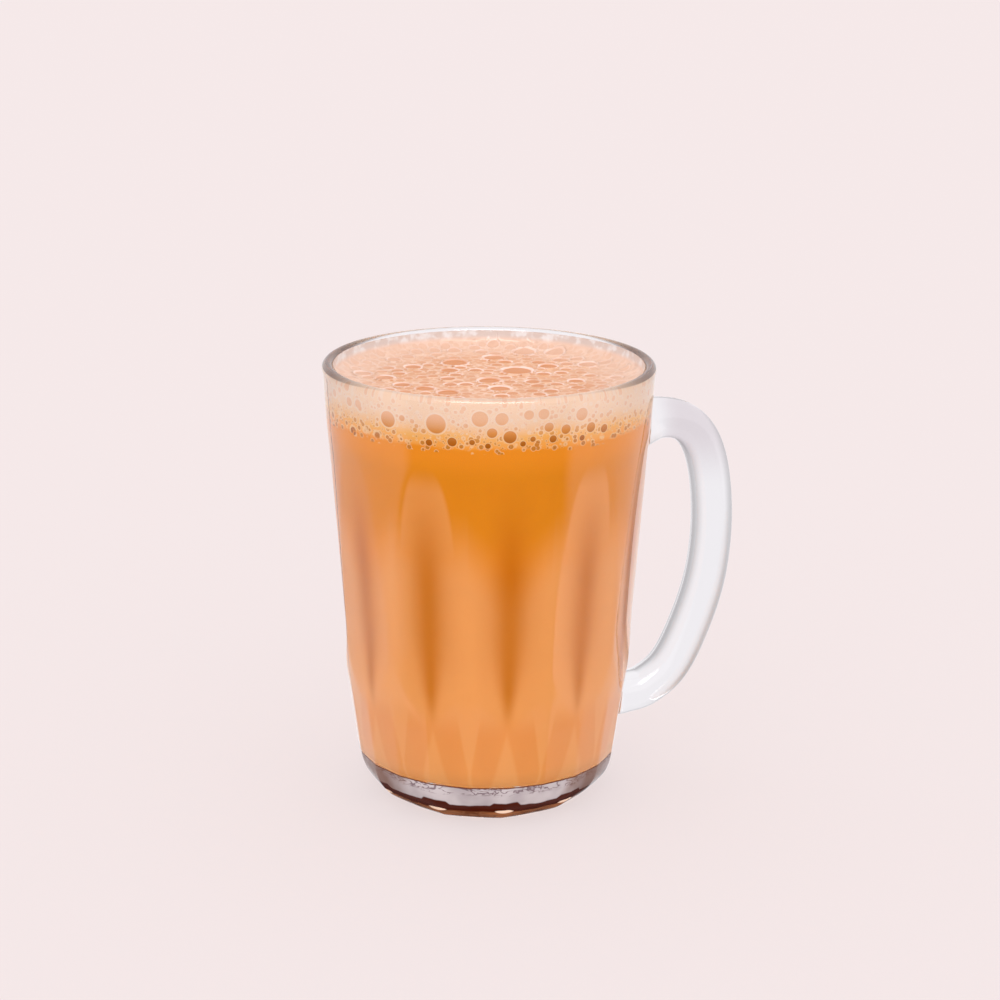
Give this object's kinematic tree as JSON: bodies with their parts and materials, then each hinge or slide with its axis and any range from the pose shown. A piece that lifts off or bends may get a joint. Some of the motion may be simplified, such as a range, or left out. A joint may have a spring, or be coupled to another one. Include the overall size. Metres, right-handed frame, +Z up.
{
  "type": "glass of teh tarik",
  "caption": "Tall handled drinking glass with shallow flutes and a thick clear base, filled with milky orange pulled tea under a head of bubbly froth.",
  "frame": {"origin": "centre of the flat foot, on the glass's axis, where the glass stands", "axes": "+Z up along the glass's axis, +X from the axis towards the handle, +Y completing a right-handed frame"},
  "size_m": [0.1037, 0.08, 0.108],
  "materials": {
    "clear_glass": "clear pressed soda-lime glass, smooth and glossy",
    "milk_tea": "opaque milky orange-brown liquid against the glass",
    "tea_froth": "pale peach foam, fine with larger open bubbles"
  },
  "bodies": {
    "root": {"glass_mug": "clear_glass", "tea": "milk_tea", "froth": "tea_froth"}
  },
  "joints": []
}
